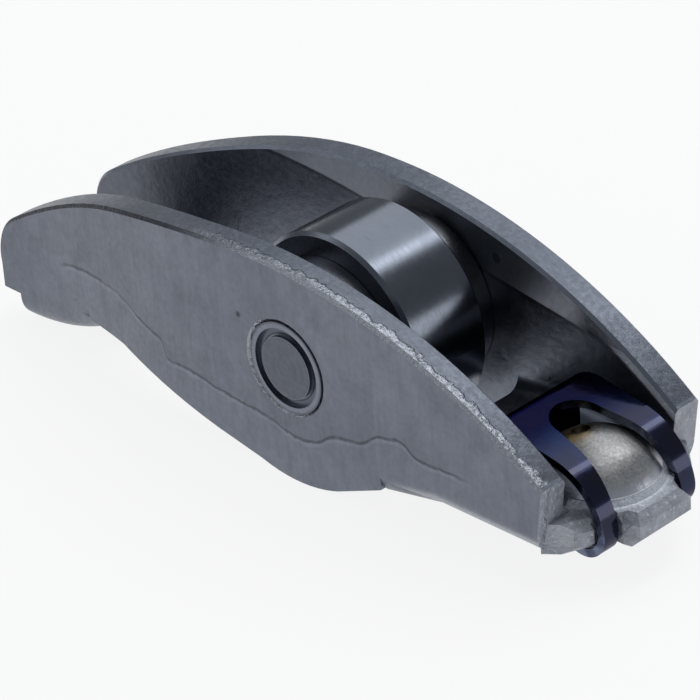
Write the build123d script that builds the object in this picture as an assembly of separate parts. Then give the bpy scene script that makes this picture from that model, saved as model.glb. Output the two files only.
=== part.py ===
from build123d import *
import math
import os

# Roller finger follower: a pressed steel lever with a staked axle, a roller ring on
# needle rollers between two thrust washers, and a spring clip over the pivot socket.
# Millimetres. While it is drawn, the axle centre is the origin, X runs from the valve
# end to the socket end, Y runs along the axle, Z is up on the cam side.

# ---------------------------------------------------------------- driving sizes
SHEET = 2.5               # thickness of the pressed steel
BEND_OUT = 2.0            # outside radius where a web turns up into a cheek
BEND_PAD = 2.3            # outside radius beside the valve pad
BEND_IN = 1.2             # inside radius of the bends
EDGE = 0.25               # broken edge of the sheared rims

HALF_FRONT = 8.3          # half width over the cheeks at the socket end
HALF_WIDE = 9.0           # half width over the cheeks beside the roller
HALF_VALVE = 6.4          # half width over the cheeks at the valve end
X_WIDE = -8.0             # where the cheeks start to draw in
OVERRUN = 3.0             # the plan outline is drawn this far past both ends

X_SOCKET = 22.9           # axis of the pivot socket
END_AHEAD = 2.4           # front end of the cheeks, ahead of the socket axis
END_LEAN = 0.8            # how far that end leans back over its height
Z_END_TOP = -0.78         # top corner of the front end
X_NOSE = -36.4            # rearmost point of the cheeks
Z_NOSE = -4.9
Z_NOSE_LOW = -7.35        # lower edge of the nose
NOSE_PARALLEL = 3.9       # length over which the cheeks run parallel at the nose
NOSE_ARCH = 2.0           # length of the rounded nose
Z_RIM_REAR = -0.36        # where the arched rim turns into the nose
X_CROWN = -3.2            # highest point of the arched rim
Z_CROWN = 8.55

WEB_TOP = -4.1            # upper face of the socket web
WEB_FLAT_BACK = 8.1       # the web is flat from here on, behind the socket axis
X_WEB_REAR = 9.2          # edge of the web at the roller window
WEB_DROP = 1.1            # how much lower the web is at that edge
CHEEK_RISE = 0.7          # how far the cheek edge clears the web there
Z_BELLY = -9.7            # lowest point of the cheeks under the roller
X_BELLY = 0.6
BELLY_HALF = 4.0          # half length of the rounded belly
BELLY_RISE_REAR = 0.55    # how much higher its two ends are
BELLY_RISE_FRONT = 0.75
Z_WAIST = -5.9            # lower edge of the cheeks between roller and pad
X_WAIST = -20.0

PAD_RADIUS = 19.0         # curvature of the valve pad
PAD_AHEAD = 2.2           # rear edge of the pad, ahead of the nose
PAD_LENGTH = 9.2

DOME_RADIUS = 5.5
DOME_SINK = 2.2           # dome centre below the upper face of the web
DOME_FLARE = 0.8          # flare at the foot of the dome
BALL_RADIUS = 4.35
BALL_SINK = 3.0           # ball centre below the upper face of the web
SOCKET_CHAMFER = 0.45
OIL_HOLE = 0.7            # radius of the oil hole
OIL_TILT = 14.0           # degrees, leaning back to the roller

LIP_AHEAD = 6.5           # front of the lip, ahead of the socket axis
LIP_HALF = 2.7            # half width of its flat front
LIP_TAPER = 1.4           # length of its slanting sides
LIP_CHAMFER = 0.7
LIP_ROOT = 1.5            # the lip starts this far behind the front of the cheeks
LIP_SHOULDER = 0.6        # step between its side and the cheek face
EAR_OUT = 0.9             # slanting ear beside each notch
EAR_RUN = 0.4
NOTCH_PLAY = 0.15         # sideways room for the clip arms in their notches
NOTCH_DEPTH = 0.65        # room behind them

PIN_RADIUS = 3.75
PIN_FIT = 0.01
STAKE_IN = 2.55           # staking groove in each end of the pin
STAKE_OUT = 3.25
STAKE_DEPTH = 0.35
BORE_CHAMFER = 0.25

ROLLER_RADIUS = 8.74
ROLLER_HALF = 3.62
ROLLER_EDGE = 0.3
RUNNING = 0.02            # radial clearance of the needles
NEEDLE_RADIUS = 0.75
NEEDLE_COUNT = 18
NEEDLE_HALF = 3.5
WASHER_RADIUS = 6.9
WASHER_BORE_FIT = 0.05
WASHER_GAP = 0.05         # end play on each face of a washer

CLIP_THICK = 0.65
CLIP_HALF = 4.85          # half width over the arms
CLIP_CORNER = 2.3         # rounding of the rear corners, seen from above
CLIP_ARC = 5.5            # outer radius of the arms
CLIP_ARC_BACK = 0.4       # their centre, behind the socket axis
CLIP_ARC_Z = -5.95
CLIP_SLOPE = 9.0          # degrees, fall of the plate towards the front
CLIP_BACK = 6.15          # rear face of the clip, behind the socket axis
CLIP_REAR_BEND = 1.2
CLIP_HOOK = 2.2           # outer radius of the hooks under the lip
CLIP_HOOK_FROM = 10.0     # degrees above level where the arms tighten into the hooks
CLIP_HOOK_TO = -115.0
CLIP_TAIL = 0.35          # straight end of the hooks
BALL_CLEAR = 0.2          # the hooks keep this far off the pivot ball
SLOT_BACK = 3.8           # rear edge of the opening between the arms
SLOT_HALF_REAR = 2.2
SLOT_HALF_FRONT = 3.4     # half width of the opening where the arms turn down
BEDDING = 0.02            # gap kept between the clip and the lever

os.makedirs("parts", exist_ok=True)


def side_face(edges):
    return Plane.XZ * make_face(edges)


def side_solid(edges, half):
    return extrude(side_face(edges), amount=half, both=True)


def polyline(points):
    return [Line(a, b) for a, b in zip(points, points[1:])]


def block(x0, x1, y0, y1, z0, z1):
    size = Box(x1 - x0, y1 - y0, z1 - z0)
    return Pos((x0 + x1) / 2, (y0 + y1) / 2, (z0 + z1) / 2) * size


def y_cylinder(radius, half):
    return Rot(90, 0, 0) * Cylinder(radius, 2 * half)


# ---------------------------------------------------------------- lever body
FAR = 60.0
x_end = X_SOCKET + END_AHEAD
x_web_flat = X_SOCKET - WEB_FLAT_BACK
x_lip = X_SOCKET + LIP_AHEAD
x_narrow = X_NOSE + NOSE_PARALLEL
x_rim_rear = X_NOSE + NOSE_ARCH
x_pad_rear = X_NOSE + PAD_AHEAD
x_pad_front = x_pad_rear + PAD_LENGTH
web_bottom = WEB_TOP - SHEET
web_rear_bottom = web_bottom - WEB_DROP
pad_zc = Z_BELLY + PAD_RADIUS
pad_xc = x_pad_rear


def pad_z(x, radius):
    return pad_zc - math.sqrt(radius ** 2 - (x - pad_xc) ** 2)


def plan_region(inset):
    """Outline of the lever seen from above, drawn in by inset."""
    run = X_WIDE - x_narrow
    step = HALF_WIDE - HALF_VALVE
    radius = (run ** 2 + step ** 2) / (4 * step)
    turn = math.asin(run / 2 / radius)
    r1 = radius - inset
    r2 = radius + inset
    c1 = HALF_WIDE - radius
    c2 = HALF_VALVE + radius

    def half(s):
        wide = (X_WIDE, s * (HALF_WIDE - inset))
        m1 = (X_WIDE - r1 * math.sin(turn / 2), s * (c1 + r1 * math.cos(turn / 2)))
        knee = (X_WIDE - r1 * math.sin(turn), s * (c1 + r1 * math.cos(turn)))
        m2 = (x_narrow + r2 * math.sin(turn / 2), s * (c2 - r2 * math.cos(turn / 2)))
        narrow = (x_narrow, s * (HALF_VALVE - inset))
        rear = (X_NOSE - OVERRUN, s * (HALF_VALVE - inset))
        front = (x_end + OVERRUN, s * (HALF_FRONT - inset))
        return [
            Line(rear, narrow),
            ThreePointArc(narrow, m2, knee),
            ThreePointArc(knee, m1, wide),
            Line(wide, front),
        ], rear, front

    upper, rear_u, front_u = half(1)
    lower, rear_l, front_l = half(-1)
    return make_face(upper + lower + [Line(rear_u, rear_l), Line(front_u, front_l)])


end_top = (x_end, Z_END_TOP)
end_low = (x_end - END_LEAN, web_bottom)
rim_rear = (x_rim_rear, Z_RIM_REAR)
crown = (X_CROWN, Z_CROWN)
nose = (X_NOSE, Z_NOSE)
nose_mid = (X_NOSE + 0.23 * (x_rim_rear - X_NOSE), Z_NOSE + 0.62 * (Z_RIM_REAR - Z_NOSE))
waist = (X_WAIST, Z_WAIST)
belly_rear = (X_BELLY - BELLY_HALF, Z_BELLY + BELLY_RISE_REAR)
belly = (X_BELLY, Z_BELLY)
belly_front = (X_BELLY + BELLY_HALF, Z_BELLY + BELLY_RISE_FRONT)

top_outline = [
    TangentArc(crown, rim_rear, tangent=(-1, 0)),
    TangentArc(crown, end_top, tangent=(1, 0)),
    Line(end_top, end_low),
    Line(end_low, (end_low[0], -FAR)),
    Line((end_low[0], -FAR), (X_NOSE, -FAR)),
    Line((X_NOSE, -FAR), (X_NOSE, Z_NOSE)),
    ThreePointArc(nose, nose_mid, rim_rear),
]


def standing(points_or_edges, x_first, x_last, plan):
    """Prism over the plan outline, standing on a lower line between two x positions."""
    last = (x_last, points_or_edges[-1].end_point().Y)
    first = (x_first, points_or_edges[0].start_point().Y)
    ring = points_or_edges + polyline([last, (x_last, FAR), (x_first, FAR), first])
    return side_solid(ring, FAR) & extrude(plan, amount=FAR, both=True)


def lower_edges(solid, z_top):
    """The two long edges along the foot of a standing prism."""
    found = []
    for edge in solid.edges():
        c = edge.center()
        if abs(edge.tangent_at(0.5).X) > 0.7 and c.Z < z_top and abs(c.Y) > 1:
            found.append(edge)
    return found


def pad_line(radius):
    x_mid = (x_pad_rear + x_pad_front) / 2
    ends = [(x, pad_z(x, radius)) for x in (x_pad_rear, x_mid, x_pad_front)]
    return [ThreePointArc(*ends)]


def trough(inset, web_bend, pad_bend):
    """The lever filled in solid, or its channel, with the bends along both webs."""
    plan = plan_region(inset)
    under_web = polyline([
        (X_WEB_REAR, web_rear_bottom + inset),
        (x_web_flat, web_bottom + inset),
        (x_end + OVERRUN / 2, web_bottom + inset),
    ])
    web = standing(under_web, X_WEB_REAR, x_end + OVERRUN / 2, plan)
    web = fillet(lower_edges(web, WEB_TOP + 1), web_bend)
    pad = standing(pad_line(PAD_RADIUS - inset), x_pad_rear, x_pad_front, plan)
    pad = fillet(lower_edges(pad, Z_WAIST + 2), pad_bend)
    return web, pad, plan


belly_line = polyline([(x_pad_front, Z_WAIST), waist, belly_rear]) + [
    ThreePointArc(belly_rear, belly, belly_front),
    Line(belly_front, (X_WEB_REAR, web_rear_bottom + CHEEK_RISE)),
]
nose_line = polyline([(X_NOSE - OVERRUN / 2, Z_NOSE_LOW), (x_pad_rear, Z_NOSE_LOW)])

web, pad, plan = trough(0, BEND_OUT, BEND_PAD)
middle = standing(belly_line, x_pad_front, X_WEB_REAR, plan)
ears = standing(nose_line, X_NOSE - OVERRUN / 2, x_pad_rear, plan)
shell = (web + pad + middle + ears) & side_solid(top_outline, FAR)

web, pad, plan = trough(SHEET, BEND_IN, BEND_IN)
window = extrude(plan, amount=FAR, both=True)
window_middle = window & block(x_pad_front, X_WEB_REAR, -FAR, FAR, -FAR, FAR)
window_rear = window & block(-FAR, x_pad_rear, -FAR, FAR, -FAR, FAR)
shell = shell - web - pad - window_middle - window_rear


def rim_edge(edge):
    """Sheared edges along the arched rim and round the nose."""
    c = edge.center()
    along = abs(edge.tangent_at(0.5).Y) < 0.5
    return along and edge.length > 2 and (c.Z > 1 or c.X < x_pad_rear - 0.5)


shell = chamfer([e for e in shell.edges() if rim_edge(e)], EDGE)

# lip ahead of the cheeks, with a notch on each side for the clip arms
clip_arc_x = X_SOCKET - CLIP_ARC_BACK
clip_rear = X_SOCKET - CLIP_BACK
slot_rear = X_SOCKET - SLOT_BACK
slot_turn = slot_rear + SLOT_HALF_REAR
slot_front = clip_arc_x + CLIP_ARC
notch_x = slot_front - CLIP_THICK - NOTCH_DEPTH
notch_share = (notch_x - slot_turn) / (slot_front - slot_turn)
notch_in = SLOT_HALF_REAR + (SLOT_HALF_FRONT - SLOT_HALF_REAR) * notch_share - NOTCH_PLAY
notch_out = CLIP_HALF + NOTCH_PLAY
tongue_side = [
    (x_web_flat + SHEET, HALF_FRONT - SHEET),
    (x_end - LIP_ROOT, HALF_FRONT - SHEET),
    (x_end - LIP_ROOT + LIP_SHOULDER, HALF_FRONT - LIP_SHOULDER),
    (notch_x, notch_out + EAR_OUT),
    (notch_x + EAR_RUN, notch_out),
    (x_lip - LIP_TAPER, notch_in),
    (x_lip, LIP_HALF),
]
tongue_other = [(x, -y) for x, y in reversed(tongue_side)]
tongue_plan = polyline(tongue_side + tongue_other + tongue_side[:1])
tongue = Pos(0, 0, web_bottom) * extrude(make_face(tongue_plan), amount=SHEET)


def lip_edge(edge):
    """Front edges of the lip, but not the lower ones beside the notches."""
    c = edge.center()
    beside = LIP_HALF < abs(c.Y) < notch_out and c.Z < web_bottom + 0.01
    return c.X > notch_x and abs(edge.tangent_at(0.5).Z) < 0.5 and not beside


tongue = chamfer([e for e in tongue.edges() if lip_edge(e)], LIP_CHAMFER)

# pivot socket: a drawn dome over a spherical seat
dome_zc = WEB_TOP - DOME_SINK


def dome_solid(grow):
    """The dome with the flare at its foot, its surface moved out by grow."""
    radius = DOME_RADIUS + grow
    fillet_r = DOME_FLARE - grow
    foot_z = WEB_TOP + grow
    flare_zc = WEB_TOP + DOME_FLARE
    flare_r = math.sqrt((DOME_RADIUS + DOME_FLARE) ** 2 - (flare_zc - dome_zc) ** 2)
    lean = math.atan2(flare_zc - dome_zc, flare_r)
    touch = (radius * math.cos(lean), dome_zc + radius * math.sin(lean))
    up = (lean + math.pi / 2) / 2
    down = (lean + math.pi + 1.5 * math.pi) / 2
    flare_mid = (flare_r + fillet_r * math.cos(down), flare_zc + fillet_r * math.sin(down))
    outline = [
        Line((0, web_bottom), (0, dome_zc + radius)),
        ThreePointArc(
            (0, dome_zc + radius),
            (radius * math.cos(up), dome_zc + radius * math.sin(up)),
            touch,
        ),
        Line(touch, flare_mid),
        Line(flare_mid, (flare_r, foot_z)),
        Line((flare_r, foot_z), (flare_r, web_bottom)),
        Line((flare_r, web_bottom), (0, web_bottom)),
    ]
    return revolve(side_face(outline), Axis.Z)


dome = dome_solid(0)
ball_zc = WEB_TOP - BALL_SINK
seat = Pos(0, 0, ball_zc) * Sphere(BALL_RADIUS)
mouth_r = math.sqrt(BALL_RADIUS ** 2 - (web_bottom - ball_zc) ** 2)
mouth = Cone(
    mouth_r + 1 + SOCKET_CHAMFER,
    mouth_r - 1 + SOCKET_CHAMFER,
    2,
)
mouth = Pos(0, 0, web_bottom) * mouth
oil = Rot(0, -OIL_TILT, 0) * Pos(0, 0, DOME_RADIUS) * Cylinder(OIL_HOLE, 2 * DOME_RADIUS)
oil = Pos(0, 0, ball_zc) * oil
socket = Pos(X_SOCKET, 0, 0)
lever = shell + tongue + socket * dome
lever = lever - socket * seat - socket * mouth - socket * oil
for side in (-1, 1):
    y0, y1 = sorted((side * notch_in, side * notch_out))
    lever = lever - block(notch_x, FAR, y0, y1, -FAR, FAR)

# bores for the axle, square through the slightly sloping cheeks
inner_slope = (HALF_WIDE - HALF_FRONT) / (x_end + OVERRUN - X_WIDE)
cheek_face = HALF_WIDE + inner_slope * X_WIDE
pin_bore = PIN_RADIUS + PIN_FIT
lever = lever - y_cylinder(pin_bore, FAR)
for side in (-1, 1):
    cone = Cone(pin_bore + BORE_CHAMFER + 0.5, pin_bore + BORE_CHAMFER - 0.5, 1.0)
    lever = lever - Pos(0, side * cheek_face, 0) * Rot(side * 90, 0, 0) * cone

# ---------------------------------------------------------------- axle and roller
pin = y_cylinder(PIN_RADIUS, cheek_face)
for side in (-1, 1):
    ring = Cylinder(STAKE_OUT, 2 * STAKE_DEPTH) - Cylinder(STAKE_IN, 2 * STAKE_DEPTH)
    pin = pin - Pos(0, side * cheek_face, 0) * Rot(90, 0, 0) * ring

pitch = PIN_RADIUS + RUNNING + NEEDLE_RADIUS
ring_bore = pitch + NEEDLE_RADIUS + RUNNING
roller = y_cylinder(ROLLER_RADIUS, ROLLER_HALF)
roller = chamfer(roller.edges(), ROLLER_EDGE)
roller = roller - y_cylinder(ring_bore, FAR)

needle = y_cylinder(NEEDLE_RADIUS, NEEDLE_HALF)
needles = []
for i in range(NEEDLE_COUNT):
    needles.append(Rot(0, 360 * i / NEEDLE_COUNT, 0) * Pos(pitch, 0, 0) * needle)

inner_face = cheek_face - SHEET
washer_in = ROLLER_HALF + WASHER_GAP
washer_out = inner_face - inner_slope * WASHER_RADIUS - WASHER_GAP
washer = y_cylinder(WASHER_RADIUS, (washer_out - washer_in) / 2)
washer = washer - y_cylinder(PIN_RADIUS + WASHER_BORE_FIT, FAR)
washer_mid = (washer_in + washer_out) / 2

# ---------------------------------------------------------------- retaining clip
slope = math.radians(CLIP_SLOPE)
bend_in = CLIP_REAR_BEND - CLIP_THICK
arm_in = CLIP_ARC - CLIP_THICK
hook_in = CLIP_HOOK - CLIP_THICK


def around(centre, radius, angle):
    return (centre[0] + radius * math.cos(angle), centre[1] + radius * math.sin(angle))


def bow(centre, radius, first, last):
    """Arc about a centre between two angles."""
    ends = [around(centre, radius, a) for a in (first, (first + last) / 2, last)]
    return ThreePointArc(*ends)


crest = math.pi / 2 - slope
turning = math.radians(CLIP_HOOK_FROM)
turned = math.radians(CLIP_HOOK_TO)
arm_c = (clip_arc_x, CLIP_ARC_Z)
hook_c = around(arm_c, CLIP_ARC - CLIP_HOOK, turning)
tail = (CLIP_TAIL * math.sin(turned), -CLIP_TAIL * math.cos(turned))
bend_x = clip_rear + CLIP_REAR_BEND
plate_run = clip_arc_x - bend_x
bend_z = CLIP_ARC_Z + (CLIP_ARC - CLIP_REAR_BEND) / math.cos(slope) + plate_run * math.tan(slope)
bend_c = (bend_x, bend_z)
foot = WEB_TOP + BEDDING


def tail_end(radius):
    x, z = around(hook_c, radius, turned)
    return (x + tail[0], z + tail[1])


clip_outline = [
    bow(arm_c, CLIP_ARC, turning, crest),
    Line(around(arm_c, CLIP_ARC, crest), around(bend_c, CLIP_REAR_BEND, crest)),
    bow(bend_c, CLIP_REAR_BEND, crest, math.pi),
    Line(around(bend_c, CLIP_REAR_BEND, math.pi), (clip_rear, foot)),
    Line((clip_rear, foot), (clip_rear + CLIP_THICK, foot)),
    Line((clip_rear + CLIP_THICK, foot), around(bend_c, bend_in, math.pi)),
    bow(bend_c, bend_in, math.pi, crest),
    Line(around(bend_c, bend_in, crest), around(arm_c, arm_in, crest)),
    bow(arm_c, arm_in, crest, turning),
    bow(hook_c, hook_in, turning, turned),
    Line(around(hook_c, hook_in, turned), tail_end(hook_in)),
    Line(tail_end(hook_in), tail_end(CLIP_HOOK)),
    Line(tail_end(CLIP_HOOK), around(hook_c, CLIP_HOOK, turned)),
    bow(hook_c, CLIP_HOOK, turned, turning),
]
clip = side_solid(clip_outline, CLIP_HALF)
slot_side = [(slot_turn, SLOT_HALF_REAR), (slot_front, SLOT_HALF_FRONT), (FAR, SLOT_HALF_FRONT)]
slot_other = [(x, -y) for x, y in reversed(slot_side)]
slot_arc = ThreePointArc(slot_other[-1], (slot_rear, 0), slot_side[0])
slot_plan = [slot_arc] + polyline(slot_side + slot_other)
clip = clip - extrude(make_face(slot_plan), amount=FAR, both=True)
clip_plan = block(clip_rear, FAR, -CLIP_HALF, CLIP_HALF, -FAR, FAR)
corners = clip_plan.edges().filter_by(Axis.Z).sort_by(Axis.X)[:2]
clip = clip & fillet(corners, CLIP_CORNER)
clip = clip - socket * dome_solid(BEDDING)
below = Align.MAX
ball_room = Cylinder(BALL_RADIUS + BALL_CLEAR, FAR, align=(Align.CENTER, Align.CENTER, below))
clip = clip - socket * Pos(0, 0, web_bottom) * ball_room

# ---------------------------------------------------------------- placing and writing
# the finished part is placed with the centre of the pivot ball at the origin
place = Pos(-X_SOCKET, 0, -ball_zc)
parts = {
    "lever_body": lever,
    "axle_pin": pin,
    "roller_ring": roller,
    "thrust_washer_left": Pos(0, -washer_mid, 0) * washer,
    "thrust_washer_right": Pos(0, washer_mid, 0) * washer,
    "retaining_clip": clip,
}
for i, piece in enumerate(needles):
    parts[f"needle_{i + 1:02d}"] = piece
for name, piece in parts.items():
    solid = place * piece
    export_step(solid, f"parts/{name}.step")
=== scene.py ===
import math
from types import SimpleNamespace

import bpy
from mathutils import Matrix, Vector


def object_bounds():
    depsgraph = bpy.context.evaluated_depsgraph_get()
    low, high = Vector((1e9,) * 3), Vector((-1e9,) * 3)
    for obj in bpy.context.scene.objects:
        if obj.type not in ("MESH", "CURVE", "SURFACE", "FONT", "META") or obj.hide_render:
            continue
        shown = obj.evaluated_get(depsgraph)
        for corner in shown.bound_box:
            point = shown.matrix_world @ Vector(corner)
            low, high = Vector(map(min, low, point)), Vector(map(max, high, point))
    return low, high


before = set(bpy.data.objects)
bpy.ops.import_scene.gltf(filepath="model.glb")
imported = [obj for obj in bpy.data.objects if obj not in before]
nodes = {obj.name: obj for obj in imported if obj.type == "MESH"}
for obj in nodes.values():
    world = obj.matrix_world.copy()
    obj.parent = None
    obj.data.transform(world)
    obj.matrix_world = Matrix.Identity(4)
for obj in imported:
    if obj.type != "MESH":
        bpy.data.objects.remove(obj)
cad_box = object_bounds()

# ---------------------------------------------------------------- shader kit
# Shader coordinates are millimetres with the axle's centre as origin: X to the socket end,
# Y along the axle (-Y is the near cheek), Z up.
MM = 1000.0                                # millimetres in a metre
AXLE_AT = (-22.9, 0.0, 7.1)                # the axle's centre in the frame, mm
NOISE_LOW, NOISE_HIGH = 0.3, 0.7           # nearly all of a noise lies between these
NOISE_MEAN = 0.5


class Shader:
    """A Principled material and short ways to add nodes to it."""

    def __init__(self, name, metallic=1.0, specular=0.5):
        self.mat = bpy.data.materials.new(name)
        self.mat.use_nodes = True
        self.tree = self.mat.node_tree
        self.tree.nodes.clear()
        self.out = self.new("ShaderNodeOutputMaterial")
        self.bsdf = self.new("ShaderNodeBsdfPrincipled")
        self.bsdf.inputs["Metallic"].default_value = metallic
        self.bsdf.inputs["Specular IOR Level"].default_value = specular
        self.link(self.bsdf.outputs["BSDF"], self.out.inputs["Surface"])
        coord = self.new("ShaderNodeTexCoord")
        move = self.new("ShaderNodeMapping")
        move.inputs["Scale"].default_value = (MM, MM, MM)
        move.inputs["Location"].default_value = [-v for v in AXLE_AT]
        self.link(coord.outputs["Object"], move.inputs["Vector"])
        self.at = move.outputs["Vector"]
        self.x, self.y, self.z = self.split(self.at)
        self.nx, self.ny, self.nz = self.split(coord.outputs["Normal"])

    def new(self, kind):
        return self.tree.nodes.new(kind)

    def link(self, source, target):
        self.tree.links.new(source, target)

    def feed(self, value, socket):
        """Give a socket a colour, a number or another socket's output."""
        if isinstance(value, tuple):
            socket.default_value = (*value, 1.0)
        elif isinstance(value, (int, float)):
            socket.default_value = value
        else:
            self.link(value, socket)

    def set(self, name, value):
        self.feed(value, self.bsdf.inputs[name])

    def split(self, vector):
        node = self.new("ShaderNodeSeparateXYZ")
        self.link(vector, node.inputs[0])
        return node.outputs[0], node.outputs[1], node.outputs[2]

    def math(self, operation, a, b=0.0):
        node = self.new("ShaderNodeMath")
        node.operation = operation
        self.feed(a, node.inputs[0])
        self.feed(b, node.inputs[1])
        return node.outputs[0]

    def add(self, a, b):
        return self.math("ADD", a, b)

    def times(self, *values):
        total = values[0]
        for value in values[1:]:
            total = self.math("MULTIPLY", total, value)
        return total

    def most(self, *values):
        total = values[0]
        for value in values[1:]:
            total = self.math("MAXIMUM", total, value)
        return total

    def minus(self, value):
        return self.times(value, -1.0)

    def size(self, value):
        return self.math("ABSOLUTE", value)

    def flip(self, mask):
        return self.math("SUBTRACT", 1.0, mask)

    def ramp(self, value, low, high, to_low=0.0, to_high=1.0):
        node = self.new("ShaderNodeMapRange")
        node.interpolation_type = "SMOOTHSTEP"
        names = ("From Min", "From Max", "To Min", "To Max")
        for name, number in zip(names, (low, high, to_low, to_high)):
            node.inputs[name].default_value = number
        self.link(value, node.inputs["Value"])
        return node.outputs["Result"]

    def spread(self, noise, to_low=0.0, to_high=1.0):
        """Stretch a noise over a range."""
        return self.ramp(noise, NOISE_LOW, NOISE_HIGH, to_low, to_high)

    def above(self, value, edge, soft=0.02):
        return self.ramp(value, edge - soft, edge + soft)

    def below(self, value, edge, soft=0.02):
        return self.ramp(value, edge - soft, edge + soft, 1.0, 0.0)

    def line(self, value, centre, half, soft):
        """A band about a value, fading out over soft."""
        return self.below(self.size(self.add(value, -centre)), half + soft / 2, soft / 2)

    def curve(self, value, points, across, up):
        """A smooth curve through a few points that lie in the ranges across and up."""
        low, high = across
        floor, top = up
        node = self.new("ShaderNodeFloatCurve")
        course = node.mapping.curves[0]
        spots = [((p[0] - low) / (high - low), (p[1] - floor) / (top - floor)) for p in points]
        course.points[0].location = spots[0]
        course.points[1].location = spots[-1]
        for spot in spots[1:-1]:
            course.points.new(*spot)
        node.mapping.update()
        share = self.times(self.add(value, -low), 1 / (high - low))
        self.link(share, node.inputs["Value"])
        return self.add(self.times(node.outputs[0], top - floor), floor)

    def noise(self, per_mm, detail=3.0, stretch=(1, 1, 1), roughness=0.55, distortion=0.0,
              shift=0.0):
        vector = self.at
        if stretch != (1, 1, 1) or shift:
            move = self.new("ShaderNodeMapping")
            move.inputs["Scale"].default_value = stretch
            move.inputs["Location"].default_value = (shift, shift, shift)
            self.link(self.at, move.inputs["Vector"])
            vector = move.outputs["Vector"]
        node = self.new("ShaderNodeTexNoise")
        node.inputs["Scale"].default_value = per_mm
        node.inputs["Detail"].default_value = detail
        node.inputs["Roughness"].default_value = roughness
        node.inputs["Distortion"].default_value = distortion
        self.link(vector, node.inputs["Vector"])
        return node.outputs["Fac"]

    def wobble(self, height, per_mm, detail=3.0, shift=0.0):
        """A noise about zero."""
        return self.times(self.add(self.noise(per_mm, detail, shift=shift), -NOISE_MEAN), height)

    def away(self, centre, stretch=(1, 1, 1)):
        """Distance from a point, in millimetres, in a stretched space."""
        parts = []
        for value, middle, share in zip((self.x, self.y, self.z), centre, stretch):
            parts.append(self.math("POWER", self.times(self.add(value, -middle), share), 2.0))
        return self.math("SQRT", self.add(self.add(parts[0], parts[1]), parts[2]))

    def mix(self, factor, a, b, blend="MIX"):
        node = self.new("ShaderNodeMix")
        node.data_type = "RGBA"
        node.blend_type = blend
        self.feed(factor, node.inputs[0])
        self.feed(a, node.inputs[6])
        self.feed(b, node.inputs[7])
        return node.outputs[2]

    def shade(self, color, factor, mask=1.0):
        """Scale a colour by a grey factor where the mask is 1."""
        grey = (factor,) * 3 if isinstance(factor, float) else factor
        return self.mix(mask, color, grey, "MULTIPLY")

    def bump(self, height, depth_mm, normal=None):
        node = self.new("ShaderNodeBump")
        node.inputs["Distance"].default_value = depth_mm / MM
        self.link(height, node.inputs["Height"])
        if normal is not None:
            self.link(normal, node.inputs["Normal"])
        return node.outputs["Normal"]

    def relief(self, *layers):
        """Bump layers of a height and a depth in millimetres, one over the other."""
        normal = None
        for height, depth_mm in layers:
            normal = self.bump(height, depth_mm, normal)
        self.set("Normal", normal)


# ---------------------------------------------------------------- the pressed lever
FACES = 0.8                                # from this much of a normal on, a face looks that way
FACES_SOFT = 0.05
NEAR_CHEEK_Y = -5                          # the near cheek lies past this
FAR_CHEEK_Y = 3                            # the far cheek lies past this
OUTER_HALF = 6.2                           # side faces past this are the cheeks' outer ones
INNER_HALF = 5.6                           # half width of the space between the cheeks
RIM_SIDEWAYS = 0.35                        # the rims look sideways less than this
RIM_LOW_Z = -0.6                           # and lie above this
FORWARD_X, FORWARD_SOFT = -8, 6            # where the front half of the rims begins
FRONT_X = 24.2                             # rear edge of the cheeks' front ends and of the lip
LIP_TOP_Z = -3.5
WEB_TOP_Z = -3.8
WEB_FRONT_X = 20
X_CROWN = -3.2                             # highest point of the arched rim
Z_CROWN = 8.55
RIM_RADIUS = 48.2                          # of the arch in front of it

STEEL_DARK, STEEL_LIGHT = (0.160, 0.178, 0.216), (0.186, 0.203, 0.243)
BROKEN_COLOR = (0.38, 0.40, 0.44)
# painted light: the web's upward faces are lightened
WEB_PAINTED_LIGHT = 1.6

WITNESS = (                                # edge of the old strip skin on the near face
    (-30, -3.6), (-27, -1.9), (-23.8, -1.5), (-19.7, -1.5), (-17, -2.4), (-14.3, -3.0),
    (-13.6, -4.4), (-11.3, -4.3), (-7.1, -4.7), (-2.4, -5.1), (1.2, -5.7), (4.4, -4.3),
    (7.6, -3.5), (9.6, -2.3), (11.5, -1.95), (13.3, -2.8), (16.3, -2.7), (19, -2.7),
)
WITNESS_ACROSS, WITNESS_UP = (-30, 20), (-8, 0)
WITNESS_REAR_X, WITNESS_FRONT_X = -28, 17.5
WITNESS_STEP = 0.03                        # height of the skin over the bare steel

TORN_Y = 8.98                              # outer edge of the near rim beside the axle
TORN_DRAW = 0.0192                         # and how much it draws in per mm to the front
TORN_WIDTH, TORN_RAGGED = 0.95, 1.8
TORN_COLOR = (0.44, 0.46, 0.51)

LIT_BAND_Z, LIT_BAND_SLOPE = 4.69, -0.1264     # lower edge of a band of painted light on the far cheek's inner face
LIT_BAND_LEAN = 0.62
ROLLED_X, ROLLED_DEEP = 18, 1.1            # rolled edge: its rear end, its depth under the rim
ROLLED_LEAN = 0.6
REAR_SHADE_X = -19

# pale colour of the cut ends, partly their own and partly painted light
PALE_AND_LIT_DARK, PALE_AND_LIT_LIGHT = (0.30, 0.315, 0.36), (0.40, 0.42, 0.47)
GLINT_COLOR = (0.66, 0.68, 0.73)
PALE_DULLNESS = 0.55                       # share of the metal's shine that it loses

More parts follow.
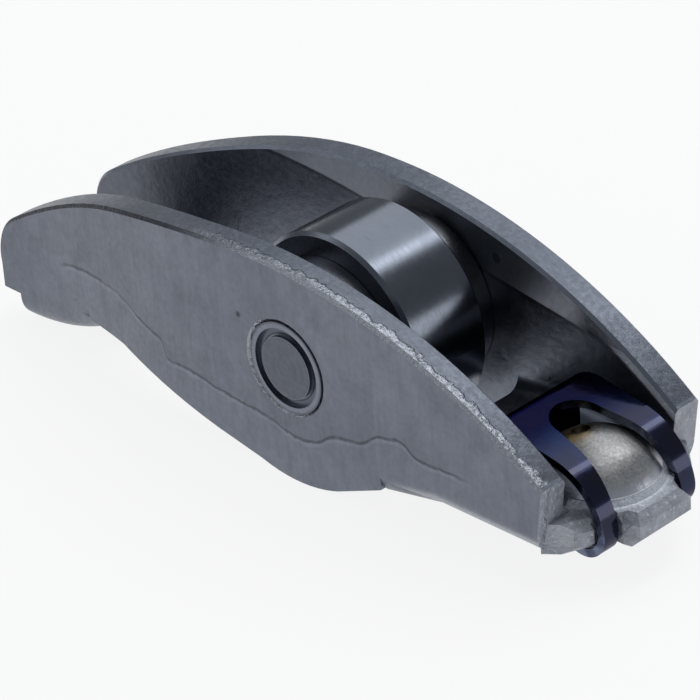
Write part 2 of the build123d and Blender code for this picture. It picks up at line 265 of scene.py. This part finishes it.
DOME_AT, DOME_REACH = (22.9, 0, -6.3), 5.75
DOME_FOOT_Z, DOME_SHEEN_Z = -4.3, -2.9
DOME_LOW_Z, DOME_HIGH_Z = -2.6, -1.1       # painted light low on the dome fading to painted shade high on it, from the one to the other
DOME_DARK, DOME_LIGHT = (0.24, 0.242, 0.243), (0.34, 0.34, 0.34)
DOME_FOOT_HIGHLIGHT = (0.42, 0.44, 0.485)
STAIN_AT, STAIN_RADIUS, STAIN_COLOR = (21.3, -0.7, -0.9), 1.3, (0.36, 0.27, 0.14)
SCORCH_AT, SCORCH_RADIUS, SCORCH_COLOR = (21.5, 0.1, -0.95), 0.85, (0.07, 0.055, 0.04)

NICKS = (                                  # centre, radius, softness
    ((7.45, 6.2, 5.4), 0.42, 0.12),
    ((-4.7, -8.95, 2.95), 0.22, 0.1),
)
PIT_LEVEL = 0.77


def lever_places(s):
    """Masks of the lever's faces and edges."""
    sideways = s.size(s.ny)
    side = s.above(sideways, FACES, FACES_SOFT)
    faces_near = s.below(s.ny, 0)
    near = s.below(s.y, NEAR_CHEEK_Y)
    outer = s.times(side, s.above(s.size(s.y), OUTER_HALF))
    front = s.times(s.above(s.nx, FACES, FACES_SOFT), s.above(s.size(s.y), INNER_HALF))
    rim = s.times(s.below(sideways, RIM_SIDEWAYS, 0.05), s.above(s.z, RIM_LOW_Z))
    return SimpleNamespace(
        near_outer=s.times(side, near, faces_near),
        far_inner=s.times(side, s.above(s.y, FAR_CHEEK_Y), faces_near),
        front=front,
        rim=s.most(rim, front),
        forward=s.above(s.x, FORWARD_X, FORWARD_SOFT),
        broken=s.times(s.line(sideways, 0.7, 0.2, 0.1), s.above(s.z, -6), faces_near, near),
        web=s.times(
            s.above(s.nz, FACES, FACES_SOFT),
            s.below(s.z, WEB_TOP_Z),
            s.below(s.x, WEB_FRONT_X, 0.5),
        ),
        lip=s.times(s.above(s.x, FRONT_X, 0.1), s.below(s.z, LIP_TOP_Z), s.flip(outer)),
        dome=s.times(
            s.below(s.away(DOME_AT), DOME_REACH, 0.1),
            s.above(s.z, DOME_FOOT_Z, 0.2),
            s.below(s.size(s.y), INNER_HALF),
        ),
    )


def rolled_skin(s, color, where, cloud, patch):
    """The strip's own skin: clouded all over, streaked and smeared on the near face."""
    color = s.mix(s.spread(cloud), *color)
    color = s.shade(color, s.ramp(patch, 0.25, 0.75, 0.94, 1.05))
    streak = s.noise(2.4, 3, stretch=(1, 1, 0.05), shift=3)
    color = s.shade(color, s.spread(streak, 0.96, 1.03), where.near_outer)
    smear = s.noise(0.35, 5, stretch=(1, 1, 0.5), roughness=0.6, distortion=1.2, shift=11)
    return s.shade(color, s.ramp(smear, 0.45, 0.65, 1.0, 0.90), where.near_outer)


def witness_line(s, color, where):
    """The line on the near face where the skin of the strip ends."""
    course = s.curve(s.x, WITNESS, WITNESS_ACROSS, WITNESS_UP)
    off = s.add(s.add(s.z, s.minus(course)), s.wobble(0.5, 0.9, shift=5))
    shown = s.times(
        where.near_outer, s.above(s.x, WITNESS_REAR_X, 1), s.below(s.x, WITNESS_FRONT_X, 1.5)
    )
    strength = s.ramp(s.noise(0.6, 2, shift=2), 0.3, 0.5, 0.35, 1)
    color = s.shade(color, 0.52, s.times(shown, s.line(off, 0, 0.05, 0.14), strength))
    color = s.shade(color, 1.16, s.times(shown, s.line(off, -0.28, 0.05, 0.22)))
    color = s.shade(color, 1.06, s.times(shown, s.below(off, -0.1, 0.1)))
    return color, s.times(shown, s.above(off, 0, 0.08))


def sheared_rims(s, color, where):
    """Speckled rims, with a torn bright edge along the front half of the near cheek and a painted
    shade line along the broken edge of the rear half.
    """
    speck = s.noise(2.6, 4, roughness=0.65, shift=9)
    color = s.shade(color, s.ramp(speck, 0.35, 0.7, 0.90, 1.14), where.rim)
    color = s.shade(color, 0.66, s.times(where.rim, where.forward))
    width = s.add(s.wobble(TORN_RAGGED, 0.8, 4, shift=4), TORN_WIDTH)
    outward = s.add(s.minus(s.y), s.times(s.x, TORN_DRAW))
    torn = s.times(
        where.rim, where.forward, s.above(s.add(outward, width), TORN_Y, 0.12), s.below(s.y, 0)
    )
    shine = s.times(torn, s.ramp(speck, 0.35, 0.6, 0.25, 1.0), s.ramp(s.x, -4, 10, 0.45, 0.95))
    color = s.mix(shine, color, TORN_COLOR)
    color = s.mix(s.times(where.broken, where.forward), color, BROKEN_COLOR)
    # painted shade: the broken edge on the rear half of the near cheek is darkened
    return s.shade(color, 0.3, s.times(where.broken, s.flip(where.forward))), torn


def inside_far_cheek(s, color, where):
    """A band of painted light that leans up, painted shade under it and in the rear corner, a
    rolled edge at the front.
    """
    over_line = s.add(s.add(s.z, s.times(s.x, -LIT_BAND_SLOPE)), -LIT_BAND_Z)
    lit_band = s.times(where.far_inner, s.above(over_line, 0, 0.12))
    # painted light: the band above the line is lightened
    color = s.shade(color, 1.35, lit_band)
    # painted shade line along the band's lower edge
    color = s.shade(color, 0.6, s.times(where.far_inner, s.line(over_line, -0.12, 0.05, 0.25)))
    # painted shade in the far cheek's rear corner
    color = s.shade(color, 0.7, s.times(where.far_inner, s.below(s.x, REAR_SHADE_X, 4)))

    ahead = s.math("POWER", s.add(s.x, -X_CROWN), 2.0)
    drop = s.math("SQRT", s.add(s.minus(ahead), RIM_RADIUS ** 2))
    under_rim = s.add(s.add(drop, Z_CROWN - RIM_RADIUS), s.minus(s.z))
    rolled = s.times(
        where.far_inner, s.above(s.x, ROLLED_X, 3), s.below(under_rim, ROLLED_DEEP, 0.25)
    )
    lit_band_height = s.times(lit_band, s.most(over_line, 0.0))
    rolled_height = s.times(rolled, s.add(under_rim, -ROLLED_DEEP))
    return color, rolled, lit_band_height, rolled_height


def pale_lit_ends(s, color, pale_and_lit, patch):
    """The cheeks' front ends, the lip and the rolled edge: dull and pale, lightened further as
    painted light where they would render dark, with painted glints.
    """
    color = s.mix(pale_and_lit, color, s.mix(s.spread(patch), PALE_AND_LIT_DARK, PALE_AND_LIT_LIGHT))
    # painted glints: small painted highlights
    glint = s.times(pale_and_lit, s.ramp(s.noise(3.0, 4, shift=17), 0.55, 0.70, 0.0, 0.55))
    return s.mix(glint, color, GLINT_COLOR)


def drawn_dome(s, color, dome):
    """The dome: worn smooth and warmer, a painted highlight at its foot, painted light low and
    painted shade high, stained round the oil hole.
    """
    sand = s.noise(5.5, 3, shift=13)
    worn_and_lit = s.mix(s.spread(sand), DOME_DARK, DOME_LIGHT)
    # painted highlight round the dome's foot
    worn_and_lit = s.mix(s.below(s.z, DOME_SHEEN_Z, 0.5), worn_and_lit, DOME_FOOT_HIGHLIGHT)
    # painted light low on the dome, painted shade high on it
    worn_and_lit = s.shade(worn_and_lit, s.ramp(s.z, DOME_LOW_Z, DOME_HIGH_Z, 1.25, 0.78))
    color = s.mix(dome, color, worn_and_lit)
    stain = s.add(s.away(STAIN_AT, (1, 0.9, 1)), s.wobble(1.8, 1.1))
    color = s.mix(s.times(dome, s.below(stain, STAIN_RADIUS, 0.5)), color, STAIN_COLOR)
    scorch = s.add(s.away(SCORCH_AT, (1, 0.8, 1)), s.wobble(1.2, 1.6))
    return s.mix(s.times(dome, s.below(scorch, SCORCH_RADIUS, 0.3)), color, SCORCH_COLOR)


def dents(s, color, dome):
    pits = s.noise(0.9, 3, stretch=(1, 1, 0.6), roughness=0.6, distortion=0.6, shift=21)
    pit = s.times(s.above(pits, PIT_LEVEL, 0.02), s.flip(dome))
    color = s.shade(color, 0.55, pit)
    nick = s.most(*[s.below(s.away(centre), radius, soft) for centre, radius, soft in NICKS])
    return s.shade(color, 0.45, nick), s.most(pit, nick)


def pressed_steel():
    s = Shader("pressed_steel")
    cloud = s.noise(0.12, 4)
    patch = s.noise(0.5, 4, shift=7)
    grain = s.noise(2.2, 4)
    fine = s.noise(7.0, 2)
    where = lever_places(s)

    color = rolled_skin(s, (STEEL_DARK, STEEL_LIGHT), where, cloud, patch)
    color, skin_step = witness_line(s, color, where)
    color, torn = sheared_rims(s, color, where)
    # painted light on the web's top faces
    color = s.shade(color, WEB_PAINTED_LIGHT, where.web)
    color, rolled, lit_band_height, rolled_height = inside_far_cheek(s, color, where)
    # faces that are duller and paler, and also lightened as painted light
    pale_and_lit = s.most(where.front, where.lip, rolled)
    color = pale_lit_ends(s, color, pale_and_lit, patch)
    color = drawn_dome(s, color, where.dome)
    color, dented = dents(s, color, where.dome)
    s.set("Base Color", color)
    s.set("Metallic", s.flip(s.times(pale_and_lit, PALE_DULLNESS)))

    rough = s.spread(grain, 0.34, 0.44)
    for mask, change in ((where.near_outer, 0.04), (where.dome, -0.04), (pale_and_lit, 0.12)):
        rough = s.add(rough, s.times(mask, change))
    s.set("Roughness", rough)

    s.relief(
        (fine, 0.010),
        (grain, 0.02),
        (cloud, 0.20),
        (s.times(pale_and_lit, s.noise(1.5, 4, shift=19)), 0.22),
        (s.times(s.most(torn, where.broken), s.noise(3.2, 4, shift=6)), 0.16),
        (lit_band_height, LIT_BAND_LEAN),
        (rolled_height, ROLLED_LEAN),
        (skin_step, WITNESS_STEP),
        (s.flip(dented), 0.05),
    )
    return s.mat


# ---------------------------------------------------------------- the other pieces
AXLE_PAINTED_RINGS = (                             # painted on the axle's end: radius, half width, softness, tone; tones over 1 are painted highlights, the tone under 1 darkens a line
    (3.4, 0.1, 0.2, 1.7),
    (2.72, 0.03, 0.07, 0.5),
    (2.58, 0.03, 0.08, 1.6),
)
TURNING_PER_MM = 9.0                       # turning marks on it, radians to the mm


def axle_steel():
    s = Shader("axle_steel")
    grain = s.noise(2.2, 4)
    cloud = s.noise(0.3, 3)
    radius = s.away((0, 0, 0), (1, 0, 1))
    color = s.mix(cloud, (0.105, 0.117, 0.145), (0.130, 0.143, 0.172))
    for middle, half, soft, tone in AXLE_PAINTED_RINGS:
        color = s.shade(color, tone, s.line(radius, middle, half, soft))
    color = s.shade(color, s.ramp(grain, 0.35, 0.7, 0.88, 1.12))
    s.set("Base Color", color)
    s.set("Roughness", s.spread(grain, 0.34, 0.46))
    turned = s.math("SINE", s.times(radius, TURNING_PER_MM))
    s.relief((turned, 0.006), (grain, 0.02))
    return s.mat


def roller_steel():
    s = Shader("roller_steel")
    hair = s.noise(5.0, 4, stretch=(0.25, 2.4, 0.25))
    cloud = s.noise(0.3, 3)
    scratch = s.noise(1.3, 3, stretch=(0.5, 5, 0.5), roughness=0.5, distortion=0.3, shift=8)
    end_face = s.above(s.size(s.ny), 0.7, 0.1)
    color = s.mix(cloud, (0.105, 0.117, 0.142), (0.135, 0.148, 0.176))
    color = s.shade(color, s.ramp(scratch, 0.62, 0.74, 1.0, 0.8))
    s.set("Base Color", s.shade(color, 1.2, end_face))
    s.set("Roughness", s.add(s.spread(hair, 0.16, 0.24), s.times(end_face, 0.1)))
    s.relief((hair, 0.003))
    return s.mat


def blued_steel():
    """Spring steel blued by heat: near black, glossier and bluer along the two arms."""
    s = Shader("blued_spring_steel")
    cloud = s.noise(0.22, 3)
    fine = s.noise(5.0, 3)
    wear = s.noise(0.9, 4, shift=5)
    edge = s.above(s.size(s.ny), 0.75, 0.1)
    rear = s.below(s.x, 21.0, 2.0)
    color = s.mix(s.ramp(cloud, 0.35, 0.65), (0.006, 0.015, 0.048), (0.010, 0.010, 0.028))
    color = s.mix(rear, color, (0.010, 0.009, 0.020))
    # rubbed wear on the side faces, brightened further as a painted highlight along them
    rubbed_and_lit = s.times(edge, s.ramp(wear, 0.35, 0.65, 0.2, 0.9))
    s.set("Base Color", s.mix(rubbed_and_lit, color, (0.20, 0.21, 0.25)))
    s.set("Roughness", s.spread(fine, 0.14, 0.22))
    s.set("Specular Tint", (0.16, 0.22, 0.42))
    s.set("Coat Weight", s.ramp(s.x, 20, 24.5, 0.02, 0.50))
    s.set("Coat Tint", (0.55, 0.72, 1.0))
    s.set("Coat Roughness", 0.08)
    s.relief((fine, 0.003), (wear, 0.02))
    return s.mat


def ground_steel(name, base, rough, along):
    """Ground steel, its marks stretched by the scale along."""
    s = Shader(name)
    fine = s.noise(6.0, 3, along)
    cloud = s.noise(0.35, 3)
    s.set("Base Color", s.mix(cloud, base, tuple(0.85 * c for c in base)))
    s.set("Roughness", s.spread(cloud, rough * 0.85, rough * 1.15))
    s.relief((fine, 0.004))
    return s.mat


def dress(name, mat):
    node = nodes[name]
    node.data.materials.clear()
    node.data.materials.append(mat)


dress("lever_body", pressed_steel())
dress("axle_pin", axle_steel())
dress("roller_ring", roller_steel())
washer = ground_steel("washer_steel", (0.16, 0.17, 0.19), 0.3, (1, 1, 1))
dress("thrust_washer_left", washer)
dress("thrust_washer_right", washer)
dress("retaining_clip", blued_steel())
needle = ground_steel("needle_steel", (0.45, 0.46, 0.48), 0.2, (1, 0.1, 1))
for name in nodes:
    if name.startswith("needle_"):
        dress(name, needle)

# ---------------------------------------------------------------- camera
CAMERA_AT = (0.16770, -0.17633, 0.15739)   # metres
CAMERA_AZIMUTH = -42.4007                  # degrees, of the way back from the part
CAMERA_ELEVATION = 30.4483
CAMERA_ROLL = -4.2078
FOCAL_PIXELS = 3994.46
IMAGE_PIXELS = 700
SENSOR = 36                                # millimetres


def direction(azimuth, elevation):
    """A unit vector from two angles in degrees."""
    az, el = math.radians(azimuth), math.radians(elevation)
    return Vector((math.cos(el) * math.cos(az), math.cos(el) * math.sin(az), math.sin(el)))


back = direction(CAMERA_AZIMUTH, CAMERA_ELEVATION)
level = (-back).cross(Vector((0, 0, 1))).normalized()
upright = level.cross(-back)
cos_roll, sin_roll = math.cos(math.radians(CAMERA_ROLL)), math.sin(math.radians(CAMERA_ROLL))
right = level * cos_roll + upright * sin_roll
up = upright * cos_roll - level * sin_roll
camera = bpy.data.objects.new("camera", bpy.data.cameras.new("camera"))
bpy.context.scene.collection.objects.link(camera)
camera.matrix_world = Matrix((
    (right.x, up.x, back.x, CAMERA_AT[0]),
    (right.y, up.y, back.y, CAMERA_AT[1]),
    (right.z, up.z, back.z, CAMERA_AT[2]),
    (0, 0, 0, 1),
))
camera.data.sensor_width = SENSOR
camera.data.lens = FOCAL_PIXELS / IMAGE_PIXELS * SENSOR
camera.data.clip_start = 0.01
camera.data.clip_end = 10
bpy.context.scene.camera = camera

# ---------------------------------------------------------------- floor
FLOOR_WHITE = 0.86                         # share of plain white in the floor as it is seen
FLOOR_SIZE = 4                             # metres
floor_z = cad_box[0][2]
bpy.ops.mesh.primitive_plane_add(size=FLOOR_SIZE, location=(0, 0, floor_z))
floor = bpy.context.object
floor.name = "floor"
paint = Shader("floor", 0.0, 0.1)
mottle = paint.noise(0.02, 2)
paint.set("Roughness", paint.spread(mottle, 0.85, 0.95))
paint.set("Base Color", paint.mix(mottle, (0.93, 0.93, 0.93), (0.96, 0.96, 0.96)))
path = paint.new("ShaderNodeLightPath")
seen = paint.most(path.outputs["Is Camera Ray"], path.outputs["Is Glossy Ray"])
white = paint.new("ShaderNodeEmission")
choose = paint.new("ShaderNodeMixShader")
paint.link(paint.times(seen, FLOOR_WHITE), choose.inputs[0])
paint.link(paint.bsdf.outputs["BSDF"], choose.inputs[1])
paint.link(white.outputs[0], choose.inputs[2])
paint.link(choose.outputs[0], paint.out.inputs["Surface"])
floor.data.materials.append(paint.mat)

# ---------------------------------------------------------------- light
LAMP_DISTANCE = 0.6                        # metres from the part's middle
PART_MIDDLE = Vector((-0.02, 0, 0))
LAMPS = (                                  # name, azimuth, elevation, size, radiance, colour
    ("window", 112, 50, (0.55, 0.5), 1.5, (0.96, 0.98, 1.0)),
    ("overhead", 60, 82, (0.35, 0.35), 1.3, (1, 1, 1)),
    ("strip", 82, 57, (0.08, 0.24), 3.6, (1, 1, 1)),
    ("low", 40, 8, (0.16, 0.16), 2.5, (1, 1, 1)),
    ("front left", -135, 26, (0.4, 0.3), 1.0, (1, 1, 1)),
)
SKY_COLOR, SKY_STRENGTH = (0.88, 0.94, 1.0, 1), 0.3

for name, azimuth, elevation, size, radiance, color in LAMPS:
    lamp = bpy.data.lights.new(name, "AREA")
    lamp.shape = "RECTANGLE"
    lamp.size, lamp.size_y = size
    lamp.energy = math.pi * size[0] * size[1] * radiance
    lamp.color = color
    softbox = bpy.data.objects.new(name, lamp)
    bpy.context.scene.collection.objects.link(softbox)
    towards = direction(azimuth, elevation)
    softbox.location = PART_MIDDLE + LAMP_DISTANCE * towards
    softbox.rotation_euler = (-towards).to_track_quat("-Z", "Y").to_euler()

world = bpy.data.worlds.new("world")
bpy.context.scene.world = world
world.use_nodes = True
sky = world.node_tree.nodes["Background"]
sky.inputs["Color"].default_value = SKY_COLOR
sky.inputs["Strength"].default_value = SKY_STRENGTH
bpy.context.scene.view_settings.view_transform = "Standard"
